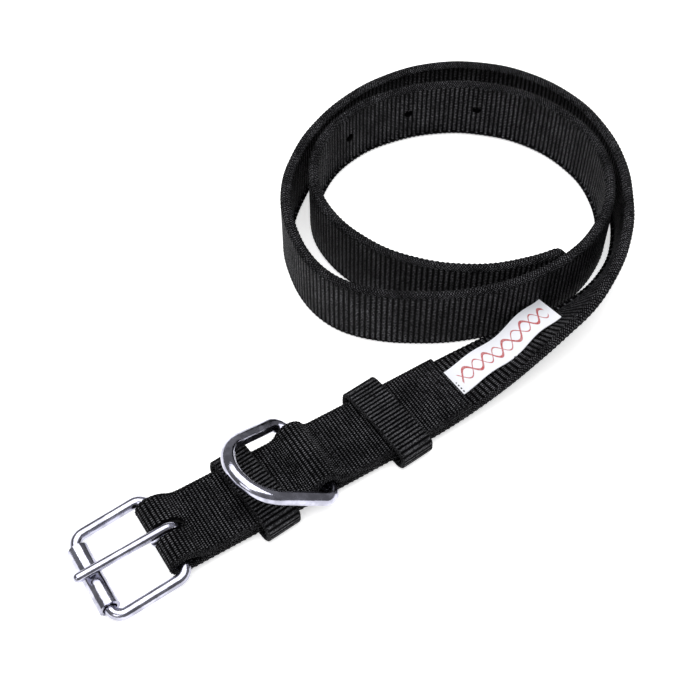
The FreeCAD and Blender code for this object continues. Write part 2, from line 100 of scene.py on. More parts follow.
def grid_faces(rows, columns, closed_rows=False):
    """Quads of a grid whose columns close on themselves: each cell joins two neighbouring rows and
    two neighbouring columns. With closed_rows the last row joins the first."""
    row, column = np.meshgrid(np.arange(rows if closed_rows else rows - 1), np.arange(columns),
                              indexing="ij")
    beside, below = (column + 1) % columns, (row + 1) % rows
    quads = np.stack([row * columns + column, row * columns + beside,
                      below * columns + beside, below * columns + column], axis=-1)
    return quads.reshape(-1, 4)


def end_faces(first, columns, flip):
    """Quads that close one end of a tube whose section is mirrored top to bottom: corner i of the
    upper half joins corner i of the lower half."""
    upper = np.arange(columns // 2)
    lower = columns - 1 - upper
    quads = np.stack([upper[:-1], upper[1:], lower[1:], lower[:-1]], axis=-1) + first
    return quads if flip else quads[:, ::-1]


def add_mesh(name, points, faces, uv=None, sharp=75.0):
    """Object at the origin from points in millimetres, index rows and an optional UV per point."""
    mesh = bpy.data.meshes.new(name)
    mesh.from_pydata((np.asarray(points) * MM).tolist(), [], [list(map(int, f)) for f in faces])
    if uv is not None:
        corners = np.zeros(len(mesh.loops), np.int32)
        mesh.loops.foreach_get("vertex_index", corners)
        layer = mesh.uv_layers.new(name="weave")
        layer.data.foreach_set("uv", np.asarray(uv, np.float32)[corners].ravel())
    mesh.shade_smooth()
    mesh.set_sharp_from_angle(angle=math.radians(sharp))
    piece = bpy.data.objects.new(name, mesh)
    bpy.context.scene.collection.objects.link(piece)
    return piece


def finish_piece(piece, material, body, slot, *nodes):
    """Material, body and the CAD nodes that the piece stands for, in one call. The slot is not used.
    """
    piece.data.materials.clear()
    piece.data.materials.append(material)
    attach(piece, body)
    if nodes:
        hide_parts(*nodes)
    triangles = sum(len(p.vertices) - 2 for p in piece.data.polygons)
    print(f"{piece.name}: {triangles} triangles")


# %% [markdown]
# ## Where the webbing runs
# A belt like this is one flat ribbon, so its whole shape is a line with a direction across it. In
# plan the line is straight under the buckle and then a chain of bends, each tangent to the one
# before. Its roll goes smoothly from flat to on edge. A "station" is the distance along it from the
# buckle's rear bar. These are the CAD model's own numbers, in millimetres.

# %% The route in plan
BAR_X, BELT_Y = -151.1, -86.5
WIDTH, THICK, LIFT = 40.0, 4.0, 3.2
FLAT_LENGTH, TWIST_START, TWIST_END, TAIL_END = 240.0, 140.0, 350.0, 172.0
BENDS = [
    (15, 100), (30, 110), (45, 115), (45, 88), (45, 89), (45, 130), (45, 96), (45, 53), (45, 134),
    (45, 90), (45, 79), (45, 82), (45, 101), (45, 77), (45, 65), (45, 90), (44, 105),
]
bend_turn = np.radians([degrees for degrees, _ in BENDS])
bend_radius = np.array([float(radius) for _, radius in BENDS])
bend_start = FLAT_LENGTH + np.concatenate([[0.0], np.cumsum(bend_turn * bend_radius)])
bend_heading = np.concatenate([[0.0], np.cumsum(bend_turn)])
BELT_LENGTH = bend_start[-1]


def chord(heading, turn, radius):
    """Step in X and Y along an arc to the left: radius times the change of the heading's sine, and
    less the change of its cosine."""
    return (radius * (np.sin(heading + turn) - np.sin(heading)),
            -radius * (np.cos(heading + turn) - np.cos(heading)))


bend_dx, bend_dy = chord(bend_heading[:-1], bend_turn, bend_radius)
bend_x = BAR_X + FLAT_LENGTH + np.concatenate([[0.0], np.cumsum(bend_dx)])
bend_y = BELT_Y + np.concatenate([[0.0], np.cumsum(bend_dy)])


def webbing_frame(stations):
    """Middle of the webbing, direction across it and its upper side, one row per station. The roll
    is 90 degrees times the smooth step 3t^2 - 2t^3 of the way through the twist, and the height is
    half the width times the roll's sine plus half the thickness times its cosine."""
    s = np.asarray(stations, float)
    bend = np.clip(np.searchsorted(bend_start, s, side="right") - 1, 0, len(BENDS) - 1)
    turn = np.clip(s - bend_start[bend], 0.0, None) / bend_radius[bend]
    dx, dy = chord(bend_heading[bend], turn, bend_radius[bend])
    flat = s < FLAT_LENGTH
    x = np.where(flat, BAR_X + s, bend_x[bend] + dx)
    y = np.where(flat, BELT_Y, bend_y[bend] + dy)
    heading = np.where(flat, 0.0, bend_heading[bend] + turn)
    share = np.clip((s - TWIST_START) / (TWIST_END - TWIST_START), 0.0, 1.0)
    share = share * share * (3 - 2 * share)
    roll = math.pi / 2 * share
    right = np.stack([np.sin(heading), -np.cos(heading), np.zeros_like(s)], axis=-1)
    up = np.array([0.0, 0.0, 1.0])
    across = right * np.cos(roll)[:, None] + up * np.sin(roll)[:, None]
    upward = up * np.cos(roll)[:, None] - right * np.sin(roll)[:, None]
    height = WIDTH / 2 * np.sin(roll) + THICK / 2 * np.cos(roll) + LIFT * (1 - share)
    return np.stack([x, y, height], axis=-1), across, upward


print(f"belt from the rear bar to the tip: {BELT_LENGTH:.0f} mm")

# %% [markdown]
# ## The folded end from the side
# At the buckle the webbing passes round the rear bar and comes back on top of itself, drops onto
# the lower layer, and rises in a hump over the D-ring's bar. Seen from the side that is a chain of
# arcs and short straight runs. Each arc is sampled finely, the runs are joined, and the chain is
# read later by its length, so the rows of the weave stay evenly spaced round every bend.

# %% The folded end
EYE_INNER = 3.3
EYE_MIDDLE = EYE_INNER + THICK / 2
BAR_Z = LIFT + EYE_INNER + THICK
FOLD_DROP = 17.0
LOWER_Z, UPPER_Z = LIFT + THICK / 2, LIFT + THICK * 1.5
RING_STATION, RING_WIRE, WIRE_GAP, RING_GAP, VALLEY = 81.0, 7.4, 0.3, 0.95, 5.0
RING_Z = LIFT + THICK + RING_WIRE / 2 + WIRE_GAP
FINE = 0.05
TAIL_FINE, BELT_FINE = 0.2, 0.4
BELT_FROM = 0.5


def arc(x, z, radius, first, last):
    """Points of an arc in side view, centre (x, z), from one angle to another in degrees."""
    count = max(3, int(abs(math.radians(last - first)) * radius / FINE))
    angle = np.radians(np.linspace(first, last, count))
    return np.stack([x + radius * np.cos(angle), z + radius * np.sin(angle)], axis=-1)


def upper_layer():
    """Side view of the upper layer's mid-line, from above the rear bar to where it twists."""
    fall = 2 * EYE_MIDDLE + LOWER_Z - UPPER_Z
    bend = (FOLD_DROP ** 2 + fall ** 2) / (4 * fall)
    turn = math.degrees(math.asin(FOLD_DROP / 2 / bend))
    top = BAR_Z + EYE_MIDDLE
    crown, valley = RING_WIRE / 2 + RING_GAP + THICK / 2, VALLEY + THICK / 2
    rise = UPPER_Z + valley - RING_Z
    reach = math.sqrt((crown + valley) ** 2 - rise ** 2)
    lean = math.degrees(math.asin(rise / (crown + valley)))
    runs = [
        arc(0, top - bend, bend, 90, 90 - turn),
        arc(FOLD_DROP, UPPER_Z + bend, bend, -90 - turn, -90),
        arc(RING_STATION - reach, UPPER_Z + valley, valley, -90, -lean),
        arc(RING_STATION, RING_Z, crown, 180 - lean, lean),
        arc(RING_STATION + reach, UPPER_Z + valley, valley, -180 + lean, -90),
        np.array([[TWIST_START, UPPER_Z]]),
    ]
    return np.concatenate(runs)


def in_space(side_view):
    """Side-view points (x from the rear bar, z) as points in the frame, on the belt's middle."""
    x, z = side_view.T
    return np.stack([BAR_X + x, np.full_like(x, BELT_Y), z], axis=-1)


def whole_line():
    """The webbing's middle line from the tail's end to the tip, with the direction across it."""
    tail = np.arange(TAIL_END, TWIST_START, -TAIL_FINE)
    middle, across, upward = webbing_frame(tail)
    tail_points = middle + upward * THICK
    fold = in_space(np.concatenate([upper_layer()[::-1], arc(0, BAR_Z, EYE_MIDDLE, 90, 270)]))
    flat_across = np.tile([0.0, -1.0, 0.0], (len(fold), 1))
    stations = np.arange(BELT_FROM, BELT_LENGTH + FINE, BELT_FINE)
    base, base_across, _ = webbing_frame(stations)
    points = np.concatenate([tail_points, fold, base])
    sides = np.concatenate([across, flat_across, base_across])
    steps = np.linalg.norm(np.diff(points, axis=0), axis=1)
    keep = np.concatenate([[True], steps > 1e-6])
    points, sides = points[keep], sides[keep]
    length = np.concatenate([[0.0], np.cumsum(np.linalg.norm(np.diff(points, axis=0), axis=1))])
    return points, sides, length


line_points, line_across, line_length = whole_line()
TOTAL_LENGTH = line_length[-1]
FOLD_LENGTH = TOTAL_LENGTH - BELT_LENGTH
print(f"webbing cut to {TOTAL_LENGTH:.0f} mm, of which {FOLD_LENGTH:.0f} mm is turned back")


def read_line(lengths):
    """Middle, across and upper side of the webbing at lengths from the tail's end. The upper side
    is across x direction, so it stays on the same face of the cloth round the fold."""
    middle = np.stack([np.interp(lengths, line_length, line_points[:, i]) for i in range(3)], -1)
    across = np.stack([np.interp(lengths, line_length, line_across[:, i]) for i in range(3)], -1)
    across /= np.linalg.norm(across, axis=1)[:, None]
    along = np.gradient(middle, lengths, axis=0)
    along /= np.linalg.norm(along, axis=1)[:, None]
    upward = np.cross(across, along)
    return middle, across, upward / np.linalg.norm(upward, axis=1)[:, None]


# %% [markdown]
# ## The woven ribbon
# Belt webbing has thick weft cords across it, and each shows as a rounded rib. The ribs are real
# shape here, five rows of points to a rib, because they make the scalloped edge that shows against
# a pale floor. The ribs are finer in the folded tail than in the rest. The selvages are braided:
# along each edge the bumps of neighbouring columns are half a rib apart. The yarns inside a rib are
# too fine for points, so they are left to the material.

# %% Ribbon builder
ROWS_PER_RIB = 5
TAIL_PITCH, BELT_PITCH = 1.9, 3.0
RIB_DEPTH, BRAID_DEPTH = 0.48, 0.65
WAVE_MEAN = 0.6
BELT_SELVAGE, KEEPER_SELVAGE = 2.2, 1.6
PUFF = 1.8
EDGE_CORE, CORE_LEAST = 1.6, 0.3
FACE_SUNK = 0.1


def edge_section(half, thick, selvage):
    """Corners of a woven section, the upper face from left to right, the right edge, the lower
    face and the left edge, as (side, up, place in the weave, braid share). The braided selvage
    covers the last part of each face and bulges a little past half."""
    reach = half - selvage
    shares = (-1, -0.66, -0.33, 0, 0.33, 0.66, 1)
    face = [(reach * share, thick / 2, reach * share, 0.0) for share in shares]
    bulge = [
        (half - selvage * 0.72, thick * 0.53, half - selvage * 0.72, 1.0),
        (half - selvage * 0.35, thick * 0.49, half - selvage * 0.35, 1.0),
        (half - 0.1, thick * 0.29, half + 0.4, 1.0),
        (half + 0.25, 0.0, half + 1.4, 1.0),
    ]
    right = bulge + [(side, -up, place, braid) for side, up, place, braid in bulge[2::-1]]
    left = [(-side, up, -place, braid) for side, up, place, braid in right[::-1]]
    lower = [(side, -up, place, braid) for side, up, place, braid in face[::-1]]
    left_up = [(side, -up, place, braid) for side, up, place, braid in left[::-1]]
    return np.array(face + right + lower + left_up)


def woven_ribbon(middle, across, upward, ribs, section, half, rib_depth, braid_depth, narrow=None,
                 puff=None):
    """Grid of points for a ribbon: each row carries the section along the path. A rib lifts both
    faces by depth x |sin(pi ribs)|, less that wave's mean, and a braid pushes the edge out from its
    core by the same wave, shifted half a rib in every second column. The puff lifts the upper side
    of the selvages, row by row, which makes the free belt's edges thicker than its middle."""
    side, up, place, braid = section.T
    column = np.arange(len(section))
    wave = np.abs(np.sin(math.pi * ribs))[:, None]
    twist = np.abs(np.sin(math.pi * (ribs[:, None] + 0.5 * (column % 2))))
    lift = rib_depth * (wave - WAVE_MEAN) * (1 - braid) * np.sign(up)
    swell = braid_depth * (twist - WAVE_MEAN) * braid
    scale = np.ones(len(ribs)) if narrow is None else narrow
    from_core = side - np.sign(side) * (half - EDGE_CORE)
    reach = np.maximum(np.hypot(from_core, up), CORE_LEAST)
    push_side = np.where(braid > 0, from_core / reach, 0)
    push_up = np.where(braid > 0, up / reach, 0)
    sides = (side[None, :] + swell * push_side) * scale[:, None]
    ups = up[None, :] + lift + swell * push_up
    if puff is not None:
        ups = ups + puff[:, None] * braid * np.clip(up / up.max(), 0, 1)
    points = (middle[:, None, :] + across[:, None, :] * sides[..., None]
              + upward[:, None, :] * ups[..., None])
    weave = np.stack(np.broadcast_arrays(ribs[:, None], place[None, :]), axis=-1)
    return points, weave


def drift(lengths, size, seed):
    """Slow unevenness of hand-laid webbing: three sine waves of unrelated wavelengths."""
    rng = np.random.default_rng(seed)
    phases = rng.uniform(0, 2 * math.pi, 3)
    waves = [np.sin(2 * math.pi * lengths / w + p) for w, p in zip((31.0, 53.0, 87.0), phases)]
    return size * sum(waves) / 3


print(f"ribs every {TAIL_PITCH} mm in the tail and every {BELT_PITCH} mm in the belt")

# %% [markdown]
# ## The strap
# The ribbon is now laid along the whole line, from the tail's end to the tip. Its width is drawn in
# at the tip as a quarter circle at each corner, and past the twist a slow drift of a quarter of a
# millimetre keeps it from looking like a machine part.

# %% The strap
TIP_ROUND = 9.0
FREE_RUN = 100.0
STRAP_DRIFT, STRAP_SEED = 0.25, 3

tail_ribs = int(FOLD_LENGTH / TAIL_PITCH)
pitch_change = tail_ribs * TAIL_PITCH
belt_ribs = int((TOTAL_LENGTH - pitch_change) / BELT_PITCH)
belt_pitch = (TOTAL_LENGTH - pitch_change) / belt_ribs
ribs = np.arange((tail_ribs + belt_ribs) * ROWS_PER_RIB + 1) / ROWS_PER_RIB
lengths = np.where(ribs < tail_ribs, ribs * TAIL_PITCH,
                   pitch_change + (ribs - tail_ribs) * belt_pitch)
middle, across, upward = read_line(lengths)
from_tip = np.clip(TOTAL_LENGTH - lengths, 0, TIP_ROUND)
tip_half = WIDTH / 2 - TIP_ROUND + np.sqrt(TIP_ROUND ** 2 - (TIP_ROUND - from_tip) ** 2)
free = np.clip((lengths - FOLD_LENGTH - TWIST_START) / FREE_RUN, 0, 1)
middle = middle + upward * (drift(lengths, STRAP_DRIFT, STRAP_SEED) * free)[:, None]

section = edge_section(WIDTH / 2, THICK - FACE_SUNK, BELT_SELVAGE)
points, weave = woven_ribbon(middle, across, upward, ribs, section, WIDTH / 2, RIB_DEPTH,
                             BRAID_DEPTH, tip_half / (WIDTH / 2), PUFF * free)
rows, columns = points.shape[:2]
faces = np.concatenate([grid_faces(rows, columns), end_faces(0, columns, False),
                        end_faces((rows - 1) * columns, columns, True)])
strap = add_mesh("webbing_strap", points.reshape(-1, 3), faces, weave.reshape(-1, 2))
print(f"{rows} rows of {columns} points, {tail_ribs + belt_ribs} ribs")

# %% [markdown]
# ## Holes and the prong's slot
# The adjusting holes are punched through the woven cloth and the prong comes up through a slot in
# the fold. Cutting is the one job that a grid does badly, so plain round and long cutters are made
# with numpy and an exact Boolean takes them out of the finished ribbon. The cutters are then
# deleted. Their own UVs are all zero, so the cut walls show plain cloth.

# %% Punched holes and slot
HOLE_DIAM, HOLE_PITCH, HOLE_FIRST, HOLE_COUNT = 5.5, 45.0, 1083.0, 3
SLOT_LENGTH, SLOT_WIDTH = 11.0, 7.0
CUT_DEPTH = THICK / 2 + 0.8
SLOT_BEHIND, SLOT_DEPTH = 9.0, 12.0
HOLE_POINTS, SLOT_POINTS = 28, 12


def prism(outline, direction):
    """Closed prism: an outline of points moved by plus and minus a direction."""
    count = len(outline)
    points = np.concatenate([outline - direction, outline + direction])
    here = np.arange(count)
    after = (here + 1) % count
    walls = np.stack([here, after, after + count, here + count], axis=-1).tolist()
    return points, walls + [here[::-1].tolist(), (here + count).tolist()]


def cut(piece, cutters):
    """Takes the cutters out of the piece with an exact Boolean and keeps the result as its mesh."""
    for number, (points, faces) in enumerate(cutters):
        cutter = add_mesh(f"cutter_{number}", points, faces, np.zeros((len(points), 2)))
        modifier = piece.modifiers.new("cut", "BOOLEAN")
        modifier.operation, modifier.solver, modifier.object = "DIFFERENCE", "EXACT", cutter
    graph = bpy.context.evaluated_depsgraph_get()
    mesh = bpy.data.meshes.new_from_object(piece.evaluated_get(graph), depsgraph=graph)
    piece.modifiers.clear()
    piece.data = mesh
    for cutter in [o for o in bpy.data.objects if o.name.startswith("cutter_")]:
        bpy.data.objects.remove(cutter)


round_turn = np.linspace(0, 2 * math.pi, HOLE_POINTS, endpoint=False)
cutters = []
hole_stations = HOLE_FIRST + HOLE_PITCH * np.arange(HOLE_COUNT)
hole_middle, hole_across, hole_up = webbing_frame(hole_stations)
for centre, side, up in zip(hole_middle, hole_across, hole_up):
    forward = np.cross(up, side)
    circle = np.outer(np.cos(round_turn), side) + np.outer(np.sin(round_turn), forward)
    cutters.append(prism(centre + HOLE_DIAM / 2 * circle, up * CUT_DEPTH))
slot_half = SLOT_WIDTH / 2
half_turn = np.linspace(-math.pi / 2, math.pi / 2, SLOT_POINTS)
slot_end = np.stack([SLOT_LENGTH - slot_half + slot_half * np.cos(half_turn),
                     slot_half * np.sin(half_turn)], axis=-1)
slot_plan = np.concatenate([[[-SLOT_BEHIND, -slot_half]], slot_end, [[-SLOT_BEHIND, slot_half]]])
slot_outline = np.stack([BAR_X + slot_plan[:, 0], BELT_Y + slot_plan[:, 1],
                         np.full(len(slot_plan), BAR_Z)], axis=-1)
cutters.append(prism(slot_outline, np.array([0.0, 0.0, SLOT_DEPTH])))
cut(strap, cutters)
print(f"{HOLE_COUNT} holes and a slot cut")

# %% [markdown]
# ## The keepers
# A keeper is a short piece of narrower webbing sewn into a loop round both layers. It is the same
# ribbon as the belt, but its path is a closed rounded rectangle across the belt, so its ribs run
# along the belt. Its shoulders stand out past the belt's edges, as a stiff loop's do, and its top
# is a low dome.

# %% Keepers
KEEPER_WIDTH, KEEPER_THICK, KEEPER_SPAN, KEEPER_HEIGHT = 20.0, 2.4, 52.8, 14.3
KEEPER_ROUND, KEEPER_SKEW, KEEPER_PITCH, KEEPER_RIB, KEEPER_BRAID = 5.5, 5.0, 2.3, 0.34, 0.2
KEEPER_DOME, KEEPER_DRIFT = 0.9, 0.35
KEEPERS = [("keeper_by_buckle", "front_keeper", 50.0), ("keeper_by_label", "rear_keeper", 130.0)]


def loop_line():
    """Mid-line of a keeper in its own plane, (across the belt, height), counter-clockwise: four
    corner arcs joined by straight sides."""
    half_span = KEEPER_SPAN / 2 - KEEPER_THICK / 2
    low, high = KEEPER_THICK / 2, KEEPER_HEIGHT - KEEPER_THICK / 2
    radius = KEEPER_ROUND - KEEPER_THICK / 2
    corners = [(half_span - radius, high - radius, 0), (-half_span + radius, high - radius, 90),
               (-half_span + radius, low + radius, 180), (half_span - radius, low + radius, 270)]
    runs = [arc(x, z, radius, begin, begin + 90) for x, z, begin in corners]
    line = np.concatenate(runs + [runs[0][:1]])
    length = np.concatenate([[0.0], np.cumsum(np.linalg.norm(np.diff(line, axis=0), axis=1))])
    return line, length


def build_keeper(name, station, seed):
    """Closed woven ribbon round the belt at a station, skewed a little seen from above."""
    line, length = loop_line()
    rib_count = round(length[-1] / KEEPER_PITCH)
    ribs = np.arange(rib_count * ROWS_PER_RIB) / ROWS_PER_RIB
    at = ribs / rib_count * length[-1]
    plane = np.stack([np.interp(at, length, line[:, i]) for i in (0, 1)], axis=-1)
    flat_half = KEEPER_SPAN / 2 - KEEPER_ROUND
    dome = np.clip(1 - (plane[:, 0] / flat_half) ** 2, 0, 1)
    plane[:, 1] += KEEPER_DOME * dome * (plane[:, 1] > KEEPER_HEIGHT / 2)
    step = np.roll(plane, -1, axis=0) - np.roll(plane, 1, axis=0)
    step /= np.linalg.norm(step, axis=1)[:, None]
    turn = math.radians(KEEPER_SKEW)
    belt_way = np.array([math.cos(turn), math.sin(turn), 0.0])
    cross_way = np.array([-math.sin(turn), math.cos(turn), 0.0])
    up = np.array([0.0, 0.0, 1.0])
    centre = np.array([BAR_X + station, BELT_Y, 0.0])
    middle = centre + plane[:, :1] * cross_way + plane[:, 1:] * up
    forward = step[:, :1] * cross_way + step[:, 1:] * up
    across = np.tile(belt_way, (len(at), 1))
    outward = -np.cross(across, forward)
    middle = middle + across * drift(at, KEEPER_DRIFT, seed)[:, None]
    half = KEEPER_WIDTH / 2
    section = edge_section(half, KEEPER_THICK - FACE_SUNK, KEEPER_SELVAGE)
    points, weave = woven_ribbon(middle, across, outward, ribs, section, half, KEEPER_RIB,
                                 KEEPER_BRAID)
    rows, columns = points.shape[:2]
    return add_mesh(name, points.reshape(-1, 3), grid_faces(rows, columns, True)[:, ::-1],
                    weave.reshape(-1, 2))


keepers = [build_keeper(name + "_loop", station, seed)
           for seed, (name, _, station) in enumerate(KEEPERS, start=11)]
print("keepers at stations", [station for _, _, station in KEEPERS])

# %% [markdown]
# ## The sewn label
# The label is a thin strip of smooth woven ribbon, caught by the seam at the tail's end and free at
# the other. It is a grid as well: it follows the webbing under it, rises in two shallow waves, and
# its roll lags behind the belt's, so the free end lifts off and looks upwards. The waves take up
# cloth, so it runs a shorter way along the belt than its own length.

# %% Label
LABEL_START, LABEL_LENGTH, LABEL_WIDTH, LABEL_SIDE, LABEL_THICK = 172.4, 78.0, 19.0, -2.5, 0.4
LABEL_RUN, LABEL_ASIDE = 71.0, 2.5
LABEL_LAG, LABEL_WAVE, LABEL_GAP, LABEL_LIFT, LABEL_DRIFT = 34.0, 2.2, 0.5, 5.5, -3.5
LABEL_ROWS, LABEL_COLUMNS = 157, 12

label_at = np.linspace(0, LABEL_LENGTH, LABEL_ROWS)
label_share = label_at / LABEL_LENGTH
label_middle, label_across, label_up = webbing_frame(LABEL_START + LABEL_RUN * label_share)
rise = (THICK / 2 + LABEL_GAP + LABEL_WAVE * (1 - np.cos(4 * math.pi * label_share)) / 2
        + LABEL_LIFT * label_share ** 2)
side_line = np.linspace(-LABEL_WIDTH / 2, LABEL_WIDTH / 2, LABEL_COLUMNS)
ring_side = np.concatenate([side_line, side_line[::-1]])
ring_up = np.repeat([LABEL_THICK / 2, -LABEL_THICK / 2], LABEL_COLUMNS)
lag = math.radians(LABEL_LAG) * label_share ** 1.5
lag_across = label_across * np.cos(lag)[:, None] - label_up * np.sin(lag)[:, None]
lag_up = label_up * np.cos(lag)[:, None] + label_across * np.sin(lag)[:, None]
label_shift = LABEL_SIDE + LABEL_ASIDE + LABEL_DRIFT * label_share ** 2
base = label_middle + label_up * rise[:, None] + label_across * label_shift[:, None]
label_points = (base[:, None, :] + lag_across[:, None, :] * ring_side[None, :, None]
                + lag_up[:, None, :] * ring_up[None, :, None])
label_uv = np.stack(np.broadcast_arrays(label_at[:, None], ring_side[None, :]), axis=-1)
label_faces = np.concatenate([
    grid_faces(LABEL_ROWS, 2 * LABEL_COLUMNS), end_faces(0, 2 * LABEL_COLUMNS, False),
    end_faces((LABEL_ROWS - 1) * 2 * LABEL_COLUMNS, 2 * LABEL_COLUMNS, True)])
label = add_mesh("woven_label", label_points.reshape(-1, 3), label_faces, label_uv.reshape(-1, 2))
print(f"label {LABEL_LENGTH} mm long over {LABEL_RUN} mm of belt")

# %% [markdown]
# ## Thread
# Each seam is a row of short raised stitches, above and below. One stitch is a thin bent tube that
# rises out of the cloth and goes back in, so a dozen points round and along it are enough, and all
# the stitches of a seam are one mesh made by carrying that tube to every place at once.

# %% Stitches
STITCH_LENGTH, STITCH_PITCH, THREAD, SEAM_INSET, THREAD_SUNK = 2.6, 3.4, 0.7, 2.5, 0.22
STITCH_RINGS, STITCH_SIDES = 7, 6
SEAMS = {
    "seam_by_buckle": (21.0, 24.0, 30.0, 33.0),
    "seam_before_ring": (65.5, 68.0),
    "seam_after_ring": (94.0, 96.5),
    "seam_at_tail_end": (164.0, 168.0),
}


def stitch_shape():
    """Points and faces of one stitch on the X axis: six-sided rings along a low arch. With t from
    -1 to 1 along it, its height goes as 1 - t^4 and its thickness as the root of 1.04 - t^4, so it
    is drawn in at both ends."""
    along = np.linspace(-1, 1, STITCH_RINGS)
    around = np.linspace(0, 2 * math.pi, STITCH_SIDES, endpoint=False)
    thick = THREAD / 2 * np.sqrt(1.04 - along ** 4)
    height = THREAD * 0.45 * (1 - along ** 4) - THREAD_SUNK
    x = np.repeat(along * STITCH_LENGTH / 2, STITCH_SIDES)
    y = (thick[:, None] * np.cos(around)).ravel()
    z = (height[:, None] + thick[:, None] * np.sin(around)).ravel()
    first = list(range(STITCH_SIDES))
    last = [index + len(x) - STITCH_SIDES for index in first]
    quads = grid_faces(STITCH_RINGS, STITCH_SIDES).tolist()
    return np.stack([x, y, z], axis=-1), quads + [first[::-1], last]


def stitches(name, middle, along, out):
    """One mesh of stitches: the shape is turned to each place's direction and outward side."""
    shape, faces = stitch_shape()
    across = np.cross(out, along)
    points = (middle[:, None, :] + along[:, None, :] * shape[None, :, :1]
              + across[:, None, :] * shape[None, :, 1:2] + out[:, None, :] * shape[None, :, 2:])
    every = [[index + number * len(shape) for index in face]
             for number in range(len(middle)) for face in faces]
    return add_mesh(name, points.reshape(-1, 3), every, np.zeros((points.size // 3, 2)))


def build_seam(name, stations):
    """Rows of stitches across the belt at the stations, on the upper and the lower face."""
    count = int((WIDTH - 2 * SEAM_INSET) / STITCH_PITCH)
    sides = (np.arange(count) - (count - 1) / 2) * STITCH_PITCH
    middle, across, up = webbing_frame(np.repeat(stations, count))
    places = middle + across * np.tile(sides, len(stations))[:, None]
    top, bottom = places + up * THICK * 1.5, places - up * THICK / 2
    return stitches(name, np.concatenate([top, bottom]), np.concatenate([across, across]),
                    np.concatenate([up, -up]))


seams = {node: build_seam(node + "_thread", stations) for node, stations in SEAMS.items()}
print("stitch rows:", sum(2 * len(stations) for stations in SEAMS.values()))

# %% [markdown]
# ## Writing materials as short sums
# A material here is arithmetic on a place in the weave, and that is hard to read as single nodes.
# The small helper below adds one node per step, so a pattern reads like the formula it stands for.

# %% Node helper
class Finish:
    """A material and the few kinds of node used in this file."""

    def __init__(self, name):
        self.material = bpy.data.materials.new(name)
        self.material.use_nodes = True
        self.nodes = self.material.node_tree.nodes
        self.links = self.material.node_tree.links
        self.shader = self.nodes["Principled BSDF"]

    def put(self, socket, value):
        """Links an output, or sets a plain value, on an input socket."""
        if isinstance(value, bpy.types.NodeSocket):
            self.links.new(value, socket)
        else:
            socket.default_value = value

    def math(self, operation, *values):
        node = self.nodes.new("ShaderNodeMath")
        node.operation = operation
        for socket, value in zip(node.inputs, values):
            self.put(socket, value)
        return node.outputs[0]

    def step(self, value, low, high, to_low=0.0, to_high=1.0):
        """Smooth change from to_low to to_high while value goes from low to high."""
        node = self.nodes.new("ShaderNodeMapRange")
        node.interpolation_type = "SMOOTHSTEP"
        for name, given in (("Value", value), ("From Min", low), ("From Max", high),
                            ("To Min", to_low), ("To Max", to_high)):
            self.put(node.inputs[name], given)
        return node.outputs["Result"]

    def uv(self):
        """Ribs counted along the webbing and yarns counted across it."""
        source = self.nodes.new("ShaderNodeUVMap")
        source.uv_map = "weave"
        split = self.nodes.new("ShaderNodeSeparateXYZ")
        self.links.new(source.outputs["UV"], split.inputs[0])
        return split.outputs["X"], split.outputs["Y"]

    def noise(self, scale, detail=2.0, stretch=(1, 1, 1)):
        """Noise on Object coordinates, which are metres in the belt's frame."""
        place = self.nodes.new("ShaderNodeTexCoord")
        mapping = self.nodes.new("ShaderNodeMapping")
        mapping.inputs["Scale"].default_value = stretch
        noise = self.nodes.new("ShaderNodeTexNoise")
        noise.inputs["Scale"].default_value = scale
        noise.inputs["Detail"].default_value = detail
        self.links.new(place.outputs["Object"], mapping.inputs["Vector"])
        self.links.new(mapping.outputs["Vector"], noise.inputs["Vector"])
        return noise.outputs["Fac"]

    def mix(self, share, first, second):
        """Colour between two colours or outputs."""
        node = self.nodes.new("ShaderNodeMix")
        node.data_type = "RGBA"
        for name, value in (("Factor_Float", share), ("A_Color", first), ("B_Color", second)):
            socket = next(s for s in node.inputs if s.identifier == name)
            self.put(socket, value)
        return next(s for s in node.outputs if s.identifier == "Result_Color")

    def bump(self, height, distance, strength=1.0):
        node = self.nodes.new("ShaderNodeBump")
        node.inputs["Strength"].default_value = strength
        node.inputs["Distance"].default_value = distance
        self.put(node.inputs["Height"], height)
        self.links.new(node.outputs["Normal"], self.shader.inputs["Normal"])

    def set(self, **values):
        """Sets or links the shader's sockets by name, with _ for a space."""
        for name, value in values.items():
            self.put(self.shader.inputs[name.replace("_", " ")], value)
        return self.material


# %% [markdown]
# ## Woven nylon
# Black nylon is dark all over, and its look comes from thousands of small round yarns that each
# catch a point of light. The height is a rounded rib, |sin|, cut by yarns whose places shift half a
# yarn from rib to rib. At the selvage it changes to crossing strands. Only the crests are painted
# lighter than the near-black valleys: a painted highlight for the nylon's sheen, which fine fuzz and
# slow noise break into grains and patches. The shader's own highlight is kept very weak, so that a
# pale studio doesn't turn black cloth grey.

# %% Webbing material
SOFT_SPECULAR = 0.03
BELT_YARNS, KEEPER_YARNS = 0.8, 1.3
EDGE_BAND, KEEPER_BAND = 1.7, 0.8
BELT_GRAIN, KEEPER_GRAIN = 1.0, 0.25
# BLACK is the cloth's own colour; the crest colour is a painted highlight, the nylon's sheen painted
# on its crests.
BLACK, PAINTED_CREST_SHEEN = (0.0012, 0.0012, 0.0015, 1), (0.20, 0.20, 0.215, 1)


